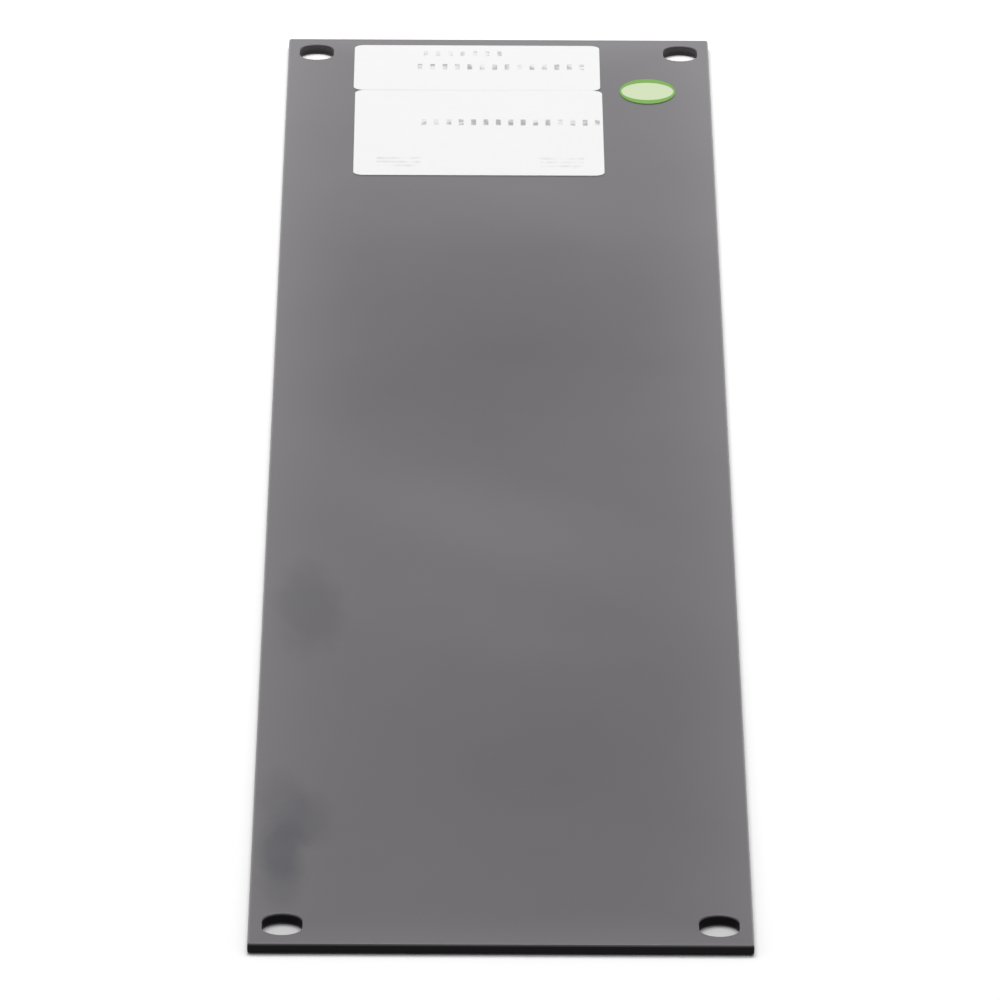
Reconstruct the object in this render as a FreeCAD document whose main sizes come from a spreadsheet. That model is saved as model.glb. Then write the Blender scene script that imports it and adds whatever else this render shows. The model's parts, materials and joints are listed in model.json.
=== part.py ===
import FreeCAD, Part
import math
import os
import Sketcher

# A two-unit blanking panel for a 19-inch equipment rack: one flat aluminium plate with a screw slot
# near each corner. Two paper labels and an oval sticker are stuck on its front face.
#
# X runs along the rack's width, Y up the rack and Z out of the front face, in millimetres.
# The origin is the middle of the plate's back face.

doc = FreeCAD.newDocument("RackBlankingPanel")
sheet = doc.addObject("Spreadsheet::Sheet", "Sizes")

sizes = [
    # the plate
    ("panel_length", 482.6, "full width of a 19-inch rack, over the panel's two ends"),
    ("unit_pitch", 44.45, "height of one rack unit"),
    ("unit_count", 2, "rack units that the panel covers"),
    ("height_relief", 0.8, "left off the full height, so that stacked panels clear each other"),
    ("plate_thickness", 2.0, "aluminium sheet"),
    ("edge_rounding", 0.5, "round along the plate's outer edges, front and back"),
    # the screw slots
    ("slot_end_inset", 8.75, "from the plate's end to a slot's centre, which meets the rack's rail"),
    ("slot_unit_inset", 6.35, "from the edge of the covered rack units to a slot's centre"),
    ("slot_length", 9.3, "end to end, along the rack's width"),
    ("slot_width", 7.0, "clears an M6 screw"),
    ("rim_rounding", 0.3, "round along the slots' rims, front and back"),
    # the labels
    ("label_thickness", 0.1, "paper and its adhesive"),
    ("label_width", 51.3, "both labels come off one roll"),
    ("label_corner", 2.0, "radius of the labels' cut corners"),
    ("label_side_inset", 13.9, "from the plate's upper edge to the small label"),
    ("label_end_inset", 4.4, "from the plate's right end to the small label"),
    ("small_label_length", 28.5, "along the rack's width"),
    ("label_gap", 0.03, "between the two labels where they come closest"),
    ("large_label_length", 52.5, "along the rack's width"),
    ("large_label_shift", 0.4, "how far the large label was stuck off the small one's line"),
    ("large_label_turn", 0.1, "degrees that the large label was stuck askew"),
    # the sticker
    ("sticker_thickness", 0.1, "film and its adhesive"),
    ("sticker_length", 15.5, "long axis of the oval, along the rack's width"),
    ("sticker_width", 11.6, "short axis of the oval"),
    ("sticker_end_inset", 33.2, "from the plate's right end to the oval's centre"),
    ("sticker_gap", 4.0, "between the small label's line and the oval"),
]
for row, (alias, value, note) in enumerate(sizes, start=1):
    sheet.set(f"A{row}", alias)
    sheet.set(f"B{row}", str(value))
    sheet.setAlias(f"B{row}", alias)
    sheet.set(f"C{row}", note)
doc.recompute()

panelHeight = "(Sizes.unit_count * Sizes.unit_pitch - Sizes.height_relief)"
slotSpan = "(Sizes.panel_length - 2 * Sizes.slot_end_inset)"
slotRise = "(Sizes.unit_count * Sizes.unit_pitch - 2 * Sizes.slot_unit_inset)"
lengthTolerance = 0.001
volumeTolerance = 0.01


def newBody(label):
    body = doc.addObject("PartDesign::Body", label)
    body.Label = label
    return body


def originFeature(body, role):
    return [feature for feature in body.Origin.OriginFeatures if feature.Role == role][0]


def newSketch(body, name):
    """A sketch on the body's own XY plane."""
    sketch = body.newObject("Sketcher::SketchObject", name)
    sketch.AttachmentSupport = (originFeature(body, "XY_Plane"), [""])
    sketch.MapMode = "FlatFace"
    return sketch


def value(formula):
    return float(sheet.evalExpression(formula))


def bind(sketch, kind, points, formula):
    """Adds a dimension to the sketch and ties it to the sheet."""
    index = sketch.addConstraint(Sketcher.Constraint(kind, *points, value(formula)))
    sketch.setExpression(f"Constraints[{index}]", formula)


def line(start, end):
    return Part.LineSegment(FreeCAD.Vector(*start), FreeCAD.Vector(*end))


def arc(centre, radius, startDegrees, endDegrees):
    circle = Part.Circle(FreeCAD.Vector(*centre), FreeCAD.Vector(0, 0, 1), radius)
    return Part.ArcOfCircle(circle, math.radians(startDegrees), math.radians(endDegrees))


def squareSides(sketch):
    """Sides 0 to 3 of a sketch run level and upright in turn."""
    for side, direction in enumerate(["Horizontal", "Vertical"] * 2):
        sketch.addConstraint(Sketcher.Constraint(direction, side))


def drawRectangle(sketch, length, width):
    """A rectangle about the sketch's origin, counter-clockwise from its lower side."""
    x, y = value(length) / 2, value(width) / 2
    corners = [(-x, -y), (x, -y), (x, y), (-x, y)]
    for side in range(4):
        sketch.addGeometry(line(corners[side], corners[(side + 1) % 4]))
    for side in range(4):
        sketch.addConstraint(Sketcher.Constraint("Coincident", side, 2, (side + 1) % 4, 1))
    squareSides(sketch)
    sketch.addConstraint(Sketcher.Constraint("Symmetric", 0, 1, 1, 2, -1, 1))
    bind(sketch, "DistanceX", (0, 1, 0, 2), length)
    bind(sketch, "DistanceY", (1, 1, 1, 2), width)


def drawRoundedRectangle(sketch, length, width, corner):
    """A rectangle about the sketch's origin: its four sides, then its four round corners."""
    x, y, radius = value(length) / 2, value(width) / 2, value(corner)
    flatX, flatY = x - radius, y - radius
    sketch.addGeometry(line((-flatX, -y), (flatX, -y)))
    sketch.addGeometry(line((x, -flatY), (x, flatY)))
    sketch.addGeometry(line((flatX, y), (-flatX, y)))
    sketch.addGeometry(line((-x, flatY), (-x, -flatY)))
    centres = [(flatX, -flatY), (flatX, flatY), (-flatX, flatY), (-flatX, -flatY)]
    for quarter, centre in enumerate(centres):
        sketch.addGeometry(arc(centre, radius, 90 * quarter - 90, 90 * quarter))
    for side in range(4):
        cornerArc = side + 4
        sketch.addConstraint(Sketcher.Constraint("Tangent", side, 2, cornerArc, 1))
        sketch.addConstraint(Sketcher.Constraint("Tangent", cornerArc, 2, (side + 1) % 4, 1))
    squareSides(sketch)
    for cornerArc in (5, 6):
        sketch.addConstraint(Sketcher.Constraint("Equal", 4, cornerArc))
    sketch.addConstraint(Sketcher.Constraint("Symmetric", 4, 3, 6, 3, -1, 1))
    bind(sketch, "Radius", (4,), corner)
    bind(sketch, "DistanceX", (3, 1, 1, 1), length)
    bind(sketch, "DistanceY", (0, 1, 2, 2), width)


def drawSlot(sketch, length, width, left, below):
    """A round-ended slot along X, its centre to the left of the sketch's origin and below it."""
    x, y, radius = -value(left), -value(below), value(width) / 2
    flatX = value(length) / 2 - radius
    sketch.addGeometry(line((x - flatX, y - radius), (x + flatX, y - radius)))
    sketch.addGeometry(arc((x + flatX, y), radius, -90, 90))
    sketch.addGeometry(line((x + flatX, y + radius), (x - flatX, y + radius)))
    sketch.addGeometry(arc((x - flatX, y), radius, 90, 270))
    centre = sketch.addGeometry(Part.Point(FreeCAD.Vector(x, y)), True)
    for piece in range(4):
        sketch.addConstraint(Sketcher.Constraint("Tangent", piece, 2, (piece + 1) % 4, 1))
    sketch.addConstraint(Sketcher.Constraint("Horizontal", 0))
    sketch.addConstraint(Sketcher.Constraint("Equal", 1, 3))
    sketch.addConstraint(Sketcher.Constraint("Symmetric", 1, 3, 3, 3, centre, 1))
    bind(sketch, "DistanceX", (centre, 1, -1, 1), left)
    bind(sketch, "DistanceY", (centre, 1, -1, 1), below)
    bind(sketch, "DistanceX", (3, 3, 1, 3), f"{length} - {width}")
    bind(sketch, "Radius", (1,), f"{width} / 2")


def drawOval(sketch, length, width):
    """An ellipse about the sketch's origin, long along X."""
    farEnd = FreeCAD.Vector(value(length) / 2, 0)
    topEnd = FreeCAD.Vector(0, value(width) / 2)
    sketch.addGeometry(Part.Ellipse(farEnd, topEnd, FreeCAD.Vector(0, 0)))
    sketch.exposeInternalGeometry(0)
    longAxis, shortAxis = 1, 2
    sketch.addConstraint(Sketcher.Constraint("Coincident", 0, 3, -1, 1))
    sketch.addConstraint(Sketcher.Constraint("Horizontal", longAxis))
    bind(sketch, "Distance", (longAxis,), length)
    bind(sketch, "Distance", (shortAxis,), width)


def addPad(body, sketch, thickness):
    pad = body.newObject("PartDesign::Pad", "Pad")
    pad.Profile = sketch
    pad.setExpression("Length", thickness)
    doc.recompute()
    return pad


def roundEdges(body, base, name, radius, choose):
    """Rounds those edges of the base feature for which choose(edge) is true."""
    edges = [f"Edge{number}" for number, edge in enumerate(base.Shape.Edges, start=1) if choose(edge)]
    fillet = body.newObject("PartDesign::Fillet", name)
    fillet.Base = (base, edges)
    fillet.setExpression("Radius", radius)
    doc.recompute()
    return fillet


def checkVolume(what, found, expected):
    """A sketch can solve to a wrong outline without an error, which the volume shows."""
    if abs(found - expected) > volumeTolerance:
        raise RuntimeError(f"{what}: {found} cubic millimetres, not {expected}")


def placeOnFront(body, x, y):
    """Sets the body's origin on the plate's front face."""
    body.setExpression("Placement.Base.x", x)
    body.setExpression("Placement.Base.y", y)
    body.setExpression("Placement.Base.z", "Sizes.plate_thickness")


# The plate: cut to size, its slots punched, then its edges and rims rounded.
plate = newBody("blanking_panel")

outline = newSketch(plate, "PlateOutline")
drawRectangle(outline, "Sizes.panel_length", panelHeight)
blank = addPad(plate, outline, "Sizes.plate_thickness")

slotOutline = newSketch(plate, "SlotOutline")
drawSlot(slotOutline, "Sizes.slot_length", "Sizes.slot_width", f"{slotSpan} / 2", f"{slotRise} / 2")
slot = plate.newObject("PartDesign::Pocket", "Slot")
slot.Profile = slotOutline
slot.Type = "ThroughAll"
slot.Reversed = True
doc.recompute()

slots = plate.newObject("PartDesign::LinearPattern", "Slots")
slots.Originals = [slot]
slots.Direction = (originFeature(plate, "X_Axis"), [""])
slots.Occurrences = 2
slots.setExpression("Length", slotSpan)
slots.Direction2 = (originFeature(plate, "Y_Axis"), [""])
slots.Occurrences2 = 2
slots.setExpression("Length2", slotRise)
plate.Tip = slots
doc.recompute()

slotCount = slots.Occurrences * slots.Occurrences2
slotArea = (sheet.slot_length - sheet.slot_width) * sheet.slot_width + math.pi * sheet.slot_width**2 / 4
punched = blank.Shape.Volume - slots.Shape.Volume
checkVolume("slots", punched, slotCount * slotArea * sheet.plate_thickness)

slotReach = math.hypot(sheet.slot_length, sheet.slot_width)


def isRim(edge):
    box = edge.BoundBox
    return box.ZLength < lengthTolerance and box.DiagonalLength < slotReach


def isOuter(edge):
    box, whole = edge.BoundBox, blank.Shape.BoundBox
    atEnd = box.XMax < whole.XMin + lengthTolerance or box.XMin > whole.XMax - lengthTolerance
    atSide = box.YMax < whole.YMin + lengthTolerance or box.YMin > whole.YMax - lengthTolerance
    return atEnd or atSide


roundedRims = roundEdges(plate, slots, "RoundedRims", "Sizes.rim_rounding", isRim)
plate.Tip = roundEdges(plate, roundedRims, "RoundedEdges", "Sizes.edge_rounding", isOuter)

def addLabel(name, length, x, y):
    """A label with its length along X and its middle at x, y on the plate's front."""
    label = newBody(name)
    labelOutline = newSketch(label, "LabelOutline")
    drawRoundedRectangle(labelOutline, length, "Sizes.label_width", "Sizes.label_corner")
    addPad(label, labelOutline, "Sizes.label_thickness")
    placeOnFront(label, x, y)
    cutCorners = (4 - math.pi) * sheet.label_corner**2
    labelArea = value(length) * sheet.label_width - cutCorners
    checkVolume(name, label.Shape.Volume, labelArea * sheet.label_thickness)
    return label


# The labels, stuck by hand one beside the other at the plate's right end.
# The large label's turned end reaches further right at one corner, which sets its place.
smallEnd = "Sizes.panel_length / 2 - Sizes.label_end_inset - Sizes.small_label_length"
smallMiddle = f"{smallEnd} + Sizes.small_label_length / 2"
turn = "Sizes.large_label_turn"
largeReach = f"(Sizes.large_label_length * cos({turn}) + Sizes.label_width * sin({turn})) / 2"
largeMiddle = f"{smallEnd} - Sizes.label_gap - {largeReach}"
labelLine = f"{panelHeight} / 2 - Sizes.label_side_inset - Sizes.label_width / 2"
smallLabel = addLabel("small_label", "Sizes.small_label_length", smallMiddle, labelLine)
largeLine = f"{labelLine} - Sizes.large_label_shift"
largeLabel = addLabel("large_label", "Sizes.large_label_length", largeMiddle, largeLine)
largeLabel.setExpression("Placement.Rotation.Angle", turn)

# The oval sticker, beside the labels.
sticker = newBody("oval_sticker")
ovalOutline = newSketch(sticker, "OvalOutline")
drawOval(ovalOutline, "Sizes.sticker_length", "Sizes.sticker_width")
addPad(sticker, ovalOutline, "Sizes.sticker_thickness")
placeOnFront(
    sticker,
    "Sizes.panel_length / 2 - Sizes.sticker_end_inset",
    f"{labelLine} - Sizes.label_width / 2 - Sizes.sticker_gap - Sizes.sticker_width / 2",
)
ovalArea = math.pi * sheet.sticker_length * sheet.sticker_width / 4
checkVolume("oval_sticker", sticker.Shape.Volume, ovalArea * sheet.sticker_thickness)

doc.recompute()
for item in doc.Objects:
    if "Invalid" in item.State or "Error" in item.State:
        raise RuntimeError(f"{item.Label} could not be built")
bodies = [plate, smallLabel, largeLabel, sticker]
for body in bodies:
    if body.Shape.isNull() or not body.Shape.isValid():
        raise RuntimeError(f"{body.Label} has no sound shape")

os.makedirs("parts", exist_ok=True)
for body in bodies:
    body.Shape.exportStep(f"parts/{body.Label}.step")
    box = body.Shape.BoundBox
    print(f"{body.Label}: {box.XLength:.2f} x {box.YLength:.2f} x {box.ZLength:.2f} mm,"
          f" {body.Shape.Volume / 1000:.3f} cm3")
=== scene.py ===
import json
import math
import bpy
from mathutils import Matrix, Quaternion, Vector

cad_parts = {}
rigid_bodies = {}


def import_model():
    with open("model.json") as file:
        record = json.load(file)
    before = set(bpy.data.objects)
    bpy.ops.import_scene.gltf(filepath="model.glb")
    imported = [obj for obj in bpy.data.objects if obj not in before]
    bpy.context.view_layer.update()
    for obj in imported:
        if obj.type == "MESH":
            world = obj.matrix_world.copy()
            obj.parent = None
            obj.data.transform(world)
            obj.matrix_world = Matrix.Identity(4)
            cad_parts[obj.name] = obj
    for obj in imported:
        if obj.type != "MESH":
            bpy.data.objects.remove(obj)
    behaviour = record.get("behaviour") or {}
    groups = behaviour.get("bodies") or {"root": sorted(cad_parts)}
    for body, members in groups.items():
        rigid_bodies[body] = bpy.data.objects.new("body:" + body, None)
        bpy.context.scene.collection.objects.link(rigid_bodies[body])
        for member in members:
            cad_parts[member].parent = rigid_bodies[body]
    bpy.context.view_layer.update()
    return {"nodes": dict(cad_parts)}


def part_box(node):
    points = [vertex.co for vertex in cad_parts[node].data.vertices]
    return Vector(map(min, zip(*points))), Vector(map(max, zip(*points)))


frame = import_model()
plateLow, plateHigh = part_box("blanking_panel")
print("loaded the panel:", [round(side * 1000, 2) for side in plateHigh - plateLow], "mm")


def deselectAll():
    for thing in bpy.context.view_layer.objects:
        thing.select_set(False)


# Camera: a long lens looking down the length of the panel from its left end.
cameraSetup = {
    "aim": (-0.02746, -0.00007),  # on the plate's front face
    "distance": 2.3130,  # metres from there to the camera
    "elevation": 21.158,  # degrees above the floor
    "heading": -0.164,  # degrees from the panel's long axis
    "roll": 0.30,  # degrees
    "lens": 438.35,  # millimetres, as is the sensor
    "sensor": 36.0,
    "seesFrom": 0.01,  # metres, nearest and furthest
    "seesTo": 200,
}


def addCamera(setup):
    elevation = math.radians(setup["elevation"])
    heading = math.radians(setup["heading"])
    forward = Vector((
        math.cos(elevation) * math.cos(heading),
        math.cos(elevation) * math.sin(heading),
        -math.sin(elevation),
    ))
    deselectAll()
    aim = Vector((*setup["aim"], plateHigh.z))
    bpy.ops.object.camera_add(location=aim - forward * setup["distance"])
    camera = bpy.context.object
    camera.name = "panelCamera"
    camera.rotation_mode = "QUATERNION"
    roll = Quaternion((0, 0, 1), math.radians(setup["roll"]))
    camera.rotation_quaternion = forward.to_track_quat("-Z", "Y") @ roll
    camera.data.lens = setup["lens"]
    camera.data.sensor_width = setup["sensor"]
    camera.data.clip_start = setup["seesFrom"]
    camera.data.clip_end = setup["seesTo"]
    bpy.context.scene.camera = camera


addCamera(cameraSetup)
print("camera placed")


# Shader maths: a Wire is a node's output, and sums on it add Math nodes.
class Wire:
    def __init__(self, nodes, output):
        self.nodes = nodes
        self.output = output

    def math(self, operation, *values):
        return self.nodes.node("ShaderNodeMath", {"operation": operation}, dict(enumerate(values)))

    def __add__(self, other):
        return self.math("ADD", self, other)

    def __radd__(self, other):
        return self.math("ADD", other, self)

    def __sub__(self, other):
        return self.math("SUBTRACT", self, other)

    def __rsub__(self, other):
        return self.math("SUBTRACT", other, self)

    def __mul__(self, other):
        return self.math("MULTIPLY", self, other)

    def __rmul__(self, other):
        return self.math("MULTIPLY", other, self)

    def __truediv__(self, other):
        return self.math("DIVIDE", self, other)

    def __pow__(self, other):
        return self.math("POWER", self, other)

    def __abs__(self):
        return self.math("ABSOLUTE", self)

    def smaller(self, other):
        return self.math("MINIMUM", self, other)

    def larger(self, other):
        return self.math("MAXIMUM", self, other)

    # 0 below the first value, 1 above the second, and a smooth rise between them
    def rise(self, start, end):
        return self.nodes.node(
            "ShaderNodeMapRange",
            {"interpolation_type": "SMOOTHSTEP"},
            {"Value": self, "From Min": start, "From Max": end, "To Min": 0.0, "To Max": 1.0},
        )

    # the other way round: 1 below the first value, and 0 above the second
    def fall(self, start, end):
        return 1.0 - self.rise(start, end)

    def clamped(self):
        return self.larger(0.0).smaller(1.0)


class Nodes:
    def __init__(self, tree):
        self.tree = tree
        tree.nodes.clear()

    def node(self, kind, settings=None, sockets=None, output=0):
        made = self.tree.nodes.new(kind)
        for name, setting in (settings or {}).items():
            setattr(made, name, setting)
        for name, value in (sockets or {}).items():
            if isinstance(value, Wire):
                self.tree.links.new(value.output, made.inputs[name])
            else:
                made.inputs[name].default_value = value
        return Wire(self, made.outputs[output]) if made.outputs else made

    # a Mix node has a set of sockets for each kind of value, and these are its colour ones
    def mix(self, share, first, second):
        return self.node("ShaderNodeMix", {"data_type": "RGBA"}, {0: share, 6: first, 7: second}, 2)

    def noise(self, place, scale, detail=2.0, roughness=0.5, distortion=0.0):
        return self.node("ShaderNodeTexNoise", None, {
            "Vector": place,
            "Scale": scale,
            "Detail": detail,
            "Roughness": roughness,
            "Distortion": distortion,
        })

    def place(self, shift=(0, 0, 0), turn=0.0, scale=(1, 1, 1)):
        point = self.node("ShaderNodeTexCoord", None, None, "Object")
        return self.node("ShaderNodeMapping", {"vector_type": "TEXTURE"}, {
            "Vector": point,
            "Location": shift,
            "Rotation": (0, 0, turn),
            "Scale": scale,
        })

    # how far a point lies from an oval's middle, 1 on the oval itself
    def ovalReach(self, middle, halves, turn=0.0):
        along, across, _ = self.axes(self.place((*middle, 0), turn, (*halves, 1)))
        return (along * along + across * across) ** 0.5

    def axes(self, place):
        split = self.node("ShaderNodeSeparateXYZ", None, {0: place})
        outputs = split.output.node.outputs
        return [Wire(self, outputs[axis]) for axis in range(3)]


def newMaterial(name):
    material = bpy.data.materials.new(name)
    material.use_nodes = True
    return material, Nodes(material.node_tree)


def grey(level):
    return (level, level, level, 1.0)


def dress(node, material):
    piece = frame["nodes"][node]
    piece.data.materials.clear()
    piece.data.materials.append(material)


# The panel's satin black coating, with a faint plum cast where light falls straight on it
coatingLook = {
    "colour": (0.0170, 0.0105, 0.0175, 1.0),
    # lighter colour for the coat's haze and for the painted sheen along the rim
    "hazeAndRimSheenColour": (0.0300, 0.0220, 0.0310, 1.0),
    "smudgeColour": (0.0012, 0.0064, 0.0215, 1.0),
    "wallColour": (0.0065, 0.0058, 0.0065, 1.0),
    "paintedLitWallColour": (0.110, 0.102, 0.104, 1.0),  # painted light on the walls, lighter towards the labelled end
    "roughness": 0.42,
    "patchRoughness": 0.05,  # these three add to it
    "smudgeRoughness": 0.04,
    "wallRoughness": 0.1,
    "specularLevel": 0.1,
    "coatRoughness": 0.30,
    "coatAtMiddle": 0.69,
    "coatAtEdges": 0.90,
    "rimSheenBand": 0.022,  # metres over which the painted sheen along the rim fades
    "rimSheenClouds": 0.25,
    "rimSheenPower": 2.2,
    "wallFade": (0.00042, 0.00020),  # metres in from a face, from a whole wall to none
    # noises over the coat: scale, detail, roughness and distortion
    "clouds": (11.0, 3.0, 0.5, 0.4),
    "patches": (45.0, 3.0, 0.55, 0.2),
    "fine": (420.0, 2.0, 0.6),
    "streaks": (230.0, 3.0, 0.55, 0.3),
    "streakStretch": 2.6,  # along the panel
    "peelSize": 0.0016,
    "peelDepth": 0.000012,
    "hazeLevel": 0.3,  # share of the haze and sheen colour
    "hazeBy": (0.5, 0.4, 0.10),  # what clouds, the painted rim sheen and fine noise add to it
    "wallLightAlong": (-0.15, 0.23),  # metres along X over which the painted light on the walls rises
    "wallLightClouds": 0.05,
    "wallShadeUpward": (0.10, 0.80),  # and over which heights the painted shade low on the walls fades, as shares of the plate's thickness
    "wallShadeShare": 0.65,  # share of that painted light taken away lower down, as painted shade
    "smudgeRagged": (0.6, 0.7, 0.15),  # by patches, streaks and fine noise
    "smudgeEdge": (0.35, 1.40),  # where a smudge starts to fade and where it ends, 1 on its oval
    "smudgeCover": 0.8,  # share of the smudge colour in the strongest smudge
    "smudgeDulling": 0.5,  # share of the gloss that it takes
    # greasy smudges: place from the panel's middle and half length and half width in metres, turn, strength
    "smudges": [
        ((-0.0825, 0.0356), (0.0235, 0.0062), 0.03, 0.38),
        ((-0.1985, 0.0387), (0.0150, 0.0038), 0.00, 0.62),
        ((-0.1850, 0.0338), (0.0120, 0.0040), 0.08, 0.26),
        ((-0.1790, 0.0380), (0.0160, 0.0050), 0.12, 0.30),
        ((-0.2160, 0.0388), (0.0110, 0.0042), 0.00, 0.30),
    ],
    "poolMottle": (0.30, 0.06),  # by clouds and patches
    "poolRagged": 0.3,  # by patches
    "poolEdge": (0.0, 1.3),  # as a smudge's
    # broad pools where the coat lies thicker (above 0) or thinner, given as the smudges are
    "pools": [
        ((0.062, -0.004), (0.085, 0.040), 0.0, -0.13),
        ((-0.038, 0.002), (0.022, 0.065), -0.84, 0.12),
        ((-0.160, 0.002), (0.060, 0.034), 0.0, -0.05),
        ((0.235, 0.0), (0.095, 0.120), 0.0, 0.16),
    ],
}


def makeCoating(look):
    material, nodes = newMaterial("blackCoating")
    place = nodes.place()
    x, y, z = nodes.axes(place)
    halfLength = (plateHigh.x - plateLow.x) / 2
    halfWidth = (plateHigh.y - plateLow.y) / 2
    halfThickness = (plateHigh.z - plateLow.z) / 2

    clouds = nodes.noise(place, *look["clouds"]) - 0.5
    patches = nodes.noise(place, *look["patches"]) - 0.5
    fine = nodes.noise(place, *look["fine"]) - 0.5

    # painted sheen: the coat's colour is a little lighter along the panel's rim, and its coat glossier
    # there
    toLongEdge = halfWidth - abs(y)
    toShortEdge = halfLength - abs(x)
    inward = toLongEdge.smaller(toShortEdge) / look["rimSheenBand"] + clouds * look["rimSheenClouds"]
    paintedRimSheen = (1.0 - inward).clamped() ** look["rimSheenPower"]
    # the cut edges and the slots' walls took a thinner, duller coat than the faces and the roundings
    wallStart, wallEnd = look["wallFade"]
    wall = abs(z - halfThickness).fall(halfThickness - wallStart, halfThickness - wallEnd)

    # smudges that overlap run into one another, streaked along the panel
    streaks = nodes.noise(nodes.place(scale=(look["streakStretch"], 1, 1)), *look["streaks"]) - 0.5
    byPatches, byStreaks, byFine = look["smudgeRagged"]
    clear = 1.0
    for middle, halves, turn, strength in look["smudges"]:
        oval = nodes.ovalReach(middle, halves, turn)
        reach = oval + patches * byPatches + streaks * byStreaks + fine * byFine
        clear = clear * (1.0 - reach.fall(*look["smudgeEdge"]) * strength)
    smudge = (1.0 - clear) * (1.0 - wall)

    byClouds, byPatches = look["poolMottle"]
    pool = clouds * byClouds + patches * byPatches
    for middle, halves, turn, amount in look["pools"]:
        reach = nodes.ovalReach(middle, halves, turn) + patches * look["poolRagged"]
        pool = pool + reach.fall(*look["poolEdge"]) * amount

    byClouds, byRimSheen, byFine = look["hazeBy"]
    # the haze share also carries the painted sheen along the rim
    hazeAndPaintedSheen = (clouds * byClouds + look["hazeLevel"] + paintedRimSheen * byRimSheen + fine * byFine).clamped()
    colour = nodes.mix(hazeAndPaintedSheen, look["colour"], look["hazeAndRimSheenColour"])
    colour = nodes.mix(smudge * look["smudgeCover"], colour, look["smudgeColour"])
    # painted light on the walls, lighter towards the labelled end, with painted shade lower down
    deep = (z / plateHigh.z).fall(*look["wallShadeUpward"])
    along = (x + clouds * look["wallLightClouds"]).rise(*look["wallLightAlong"])
    paintedWallLight = along * (1.0 - deep * look["wallShadeShare"])
    wallColour = nodes.mix(paintedWallLight, look["wallColour"], look["paintedLitWallColour"])
    colour = nodes.mix(wall, colour, wallColour)
    roughness = look["roughness"] + patches * look["patchRoughness"]
    roughness = roughness + smudge * look["smudgeRoughness"] + wall * look["wallRoughness"]
    gloss = look["coatAtMiddle"] + (look["coatAtEdges"] - look["coatAtMiddle"]) * paintedRimSheen + pool
    coat = gloss.larger(0.0) * (1.0 - smudge * look["smudgeDulling"]) * (1.0 - wall)
    peel = nodes.noise(place, 1.0 / look["peelSize"])
    bump = nodes.node("ShaderNodeBump", None, {
        "Strength": 1.0,
        "Distance": look["peelDepth"],
        "Height": peel,
    })
    shader = nodes.node("ShaderNodeBsdfPrincipled", None, {
        "Base Color": colour,
        "Roughness": roughness,
        "IOR": 1.5,
        "Specular IOR Level": look["specularLevel"],
        "Coat Weight": coat.smaller(1.0),
        "Coat Roughness": look["coatRoughness"],
        "Normal": bump,
    })
    nodes.node("ShaderNodeOutputMaterial", None, {"Surface": shader})
    return material


dress("blanking_panel", makeCoating(coatingLook))
print("coating made")


# White paper of the two labels, with faint plain bars as their print
labelLook = {
    "colour": (0.965, 0.965, 0.965, 1.0),
    "fibreColour": (0.915, 0.915, 0.91, 1.0),
    "inkColour": (0.24, 0.24, 0.25, 1.0),
    "roughness": 0.5,
    "fibreRoughness": 0.1,
    "fibreDepth": 0.00001,
    # noises over the paper: scale, detail and roughness
    "fibres": (700.0, 4.0, 0.65),
    "clouds": (60.0, 2.0, 0.5),
    "wear": (260.0, 3.0, 0.65),
    "fibresFrom": 0.35,  # level of the fibres' noise from which they colour the paper
    "fibreShare": 0.8,
    "cloudShare": 0.4,
    "wornBetween": (0.38, 0.64),  # levels of the wear's noise, from worn print to whole
    "wornInk": 0.12,  # share of ink left where the print is worn
    "printEdge": 0.0001,  # metres over which a bar's edge fades, each way
    "lineEdge": (0.15, 0.35),  # from a level line's middle, as shares of the lines' spacing
    # rows of bars: middle of a row on the panel, its length along Y, bars in it, a bar's sides, strength
    "rows": [
        ((0.2316, 0.0075), 0.0180, 7, (0.0030, 0.0009), 0.60),
        ((0.2232, -0.0005), 0.0364, 14, (0.0034, 0.0010), 0.80),
        ((0.1883, -0.0025), 0.0384, 15, (0.0036, 0.0010), 0.80),
    ],
    # small blocks of fine level lines: middle, sides, lines, strength
    "blocks": [
        ((0.1638, 0.0205), (0.0068, 0.0092), 3, 0.24),
        ((0.1638, -0.0130), (0.0068, 0.0092), 3, 0.24),
    ],
}


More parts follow.
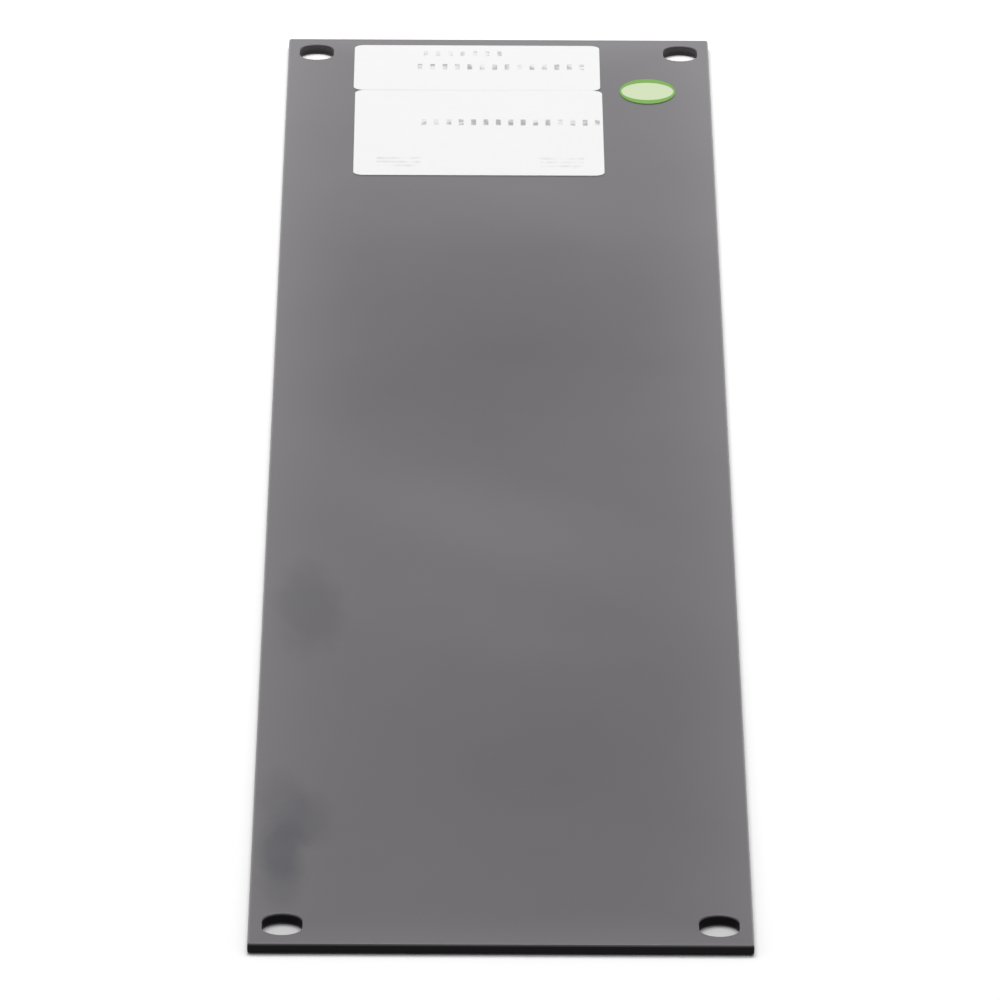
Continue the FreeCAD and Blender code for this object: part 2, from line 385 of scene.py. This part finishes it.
def makeLabelPaper(look):
    material, nodes = newMaterial("labelPaper")
    place = nodes.place()
    x, y, _ = nodes.axes(place)
    fibres = nodes.noise(place, *look["fibres"])
    clouds = nodes.noise(place, *look["clouds"])
    whole = nodes.noise(place, *look["wear"]).rise(*look["wornBetween"])
    fibrous = (fibres - look["fibresFrom"]) * look["fibreShare"] + (clouds - 0.5) * look["cloudShare"]
    colour = nodes.mix(fibrous, look["colour"], look["fibreColour"])

    ink = 0.0
    soft = look["printEdge"]
    for middle, length, bars, (deep, wide), strength in look["rows"]:
        pitch = length / bars
        along = (y - (middle[1] - length / 2)) / pitch
        offBar = abs(along.math("FRACT", along) - 0.5) * pitch
        bar = offBar.fall(wide / 2 - soft, wide / 2 + soft)
        inRow = abs(x - middle[0]).fall(deep / 2 - soft, deep / 2 + soft)
        inLength = abs(y - middle[1]).fall(length / 2 - soft, length / 2)
        ink = (bar * inRow * inLength * strength).larger(ink)
    for middle, (deep, wide), lines, strength in look["blocks"]:
        pitch = deep / lines
        along = (x - (middle[0] - deep / 2)) / pitch
        line = abs(along.math("FRACT", along) - 0.5).fall(*look["lineEdge"])
        inBlock = abs(x - middle[0]).fall(deep / 2 - soft * 2, deep / 2)
        inWidth = abs(y - middle[1]).fall(wide / 2 - soft * 2, wide / 2)
        ink = (line * inBlock * inWidth * strength).larger(ink)
    left = look["wornInk"] + whole * (1.0 - look["wornInk"])
    colour = nodes.mix(ink * left, colour, look["inkColour"])
    bump = nodes.node("ShaderNodeBump", None, {
        "Strength": 1.0,
        "Distance": look["fibreDepth"],
        "Height": fibres,
    })
    shader = nodes.node("ShaderNodeBsdfPrincipled", None, {
        "Base Color": colour,
        "Roughness": look["roughness"] + (fibres - 0.5) * look["fibreRoughness"],
        "Normal": bump,
    })
    nodes.node("ShaderNodeOutputMaterial", None, {"Surface": shader})
    return material


labelPaper = makeLabelPaper(labelLook)
dress("small_label", labelPaper)
dress("large_label", labelPaper)
print("labels made")


# Green oval sticker with a pale round field
stickerLook = {
    "ring": (0.17, 0.42, 0.055, 1.0),
    "field": (0.68, 0.80, 0.51, 1.0),
    "fieldRadius": 0.0054,
    "softness": 0.00012,
    "roughness": 0.5,
    "grainScale": 900.0,
    "grainRoughness": 0.12,
    "specularLevel": 0.2,
}


def makeStickerFilm(look):
    material, nodes = newMaterial("stickerFilm")
    low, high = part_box("oval_sticker")
    middle = (low + high) / 2
    place = nodes.place((middle.x, middle.y, 0))
    x, y, _ = nodes.axes(place)
    radius = (x * x + y * y) ** 0.5
    field = radius.fall(look["fieldRadius"] - look["softness"], look["fieldRadius"] + look["softness"])
    colour = nodes.mix(field, look["ring"], look["field"])
    grain = nodes.noise(place, look["grainScale"])
    shader = nodes.node("ShaderNodeBsdfPrincipled", None, {
        "Base Color": colour,
        "Roughness": look["roughness"] + (grain - 0.5) * look["grainRoughness"],
        "Specular IOR Level": look["specularLevel"],
    })
    nodes.node("ShaderNodeOutputMaterial", None, {"Surface": shader})
    return material


dress("oval_sticker", makeStickerFilm(stickerLook))
print("sticker made")


# Floor, lamps and the white round them
studio = {
    "floorSize": 60.0,
    "floorDrop": 0.00005,
    "floorColour": (0.97, 0.97, 0.97, 1.0),
    "floorSeen": (1.25, 1.25, 1.25, 1.0),
    "plainBetween": (0.45, 1.2),  # metres from the panel's middle over which the floor turns plain white
    "shadedSeen": (0.80, 0.79, 0.80, 1.0),  # under the panel, towards its bare end
    "shadedAlong": (-0.15, 0.2),  # metres along X over which that shade ends
    "shadedFade": 0.002,  # metres in from the panel's outline over which it sets in
    "whiteSeen": 1.0,
    "whiteLight": 0.36,
    # each lamp's place, the point that it faces, its sides in metres, and its power in watts
    "lamps": [
        ("keyLamp", (0.65, 0.1, 2.0), (0.0, 0.0, 0.0), (1.6, 1.2), 26.8),
        ("stripLamp", (0.42, 0.0, 0.075), (0.0, 0.0, 0.0), (0.7, 0.12), 0.06),
    ],
}


# 1 for what the camera sees straight, in a reflection or through glass, and 0 for light on the object
def cameraShare(nodes):
    names = ("Is Camera Ray", "Is Glossy Ray", "Is Transmission Ray")
    straight, glossy, through = [nodes.node("ShaderNodeLightPath", None, None, name) for name in names]
    return straight.larger(glossy).larger(through)


def addFloor(setup):
    deselectAll()
    height = plateLow.z - setup["floorDrop"]
    bpy.ops.mesh.primitive_plane_add(size=setup["floorSize"], location=(0, 0, height))
    floor = bpy.context.object
    floor.name = "floor"
    material, nodes = newMaterial("paleFloor")
    shown = cameraShare(nodes)
    x, y, _ = nodes.axes(nodes.place())
    underLength = abs(x).fall(plateHigh.x - setup["shadedFade"], plateHigh.x)
    underWidth = abs(y).fall(plateHigh.y - setup["shadedFade"], plateHigh.y)
    shaded = underLength * underWidth * x.fall(*setup["shadedAlong"])
    seen = nodes.mix(shaded, setup["floorSeen"], setup["shadedSeen"])
    colour = nodes.mix(shown, setup["floorColour"], seen)
    lit = nodes.node("ShaderNodeBsdfDiffuse", None, {"Color": colour})
    plain = nodes.node("ShaderNodeEmission", None, {"Color": grey(1.0), "Strength": setup["whiteSeen"]})
    far = ((x * x + y * y) ** 0.5).rise(*setup["plainBetween"])
    shader = nodes.node("ShaderNodeMixShader", None, {0: far * shown, 1: lit, 2: plain})
    nodes.node("ShaderNodeOutputMaterial", None, {"Surface": shader})
    floor.data.materials.append(material)


def addWhiteWorld(setup):
    world = bpy.data.worlds.new("whiteRoom")
    bpy.context.scene.world = world
    world.use_nodes = True
    nodes = Nodes(world.node_tree)
    shown = cameraShare(nodes)
    strength = setup["whiteLight"] + shown * (setup["whiteSeen"] - setup["whiteLight"])
    background = nodes.node("ShaderNodeBackground", None, {"Color": grey(1.0), "Strength": strength})
    nodes.node("ShaderNodeOutputWorld", None, {"Surface": background})


def addLamps(setup):
    for name, location, target, (sizeX, sizeY), power in setup["lamps"]:
        deselectAll()
        bpy.ops.object.light_add(type="AREA", location=location)
        lamp = bpy.context.object
        lamp.name = name
        lamp.data.shape = "RECTANGLE"
        lamp.data.size = sizeX
        lamp.data.size_y = sizeY
        lamp.data.energy = power
        lamp.rotation_mode = "QUATERNION"
        lamp.rotation_quaternion = (Vector(target) - Vector(location)).to_track_quat("-Z", "Y")


addFloor(studio)
addWhiteWorld(studio)
addLamps(studio)
bpy.context.scene.view_settings.view_transform = "Standard"
print("studio made")
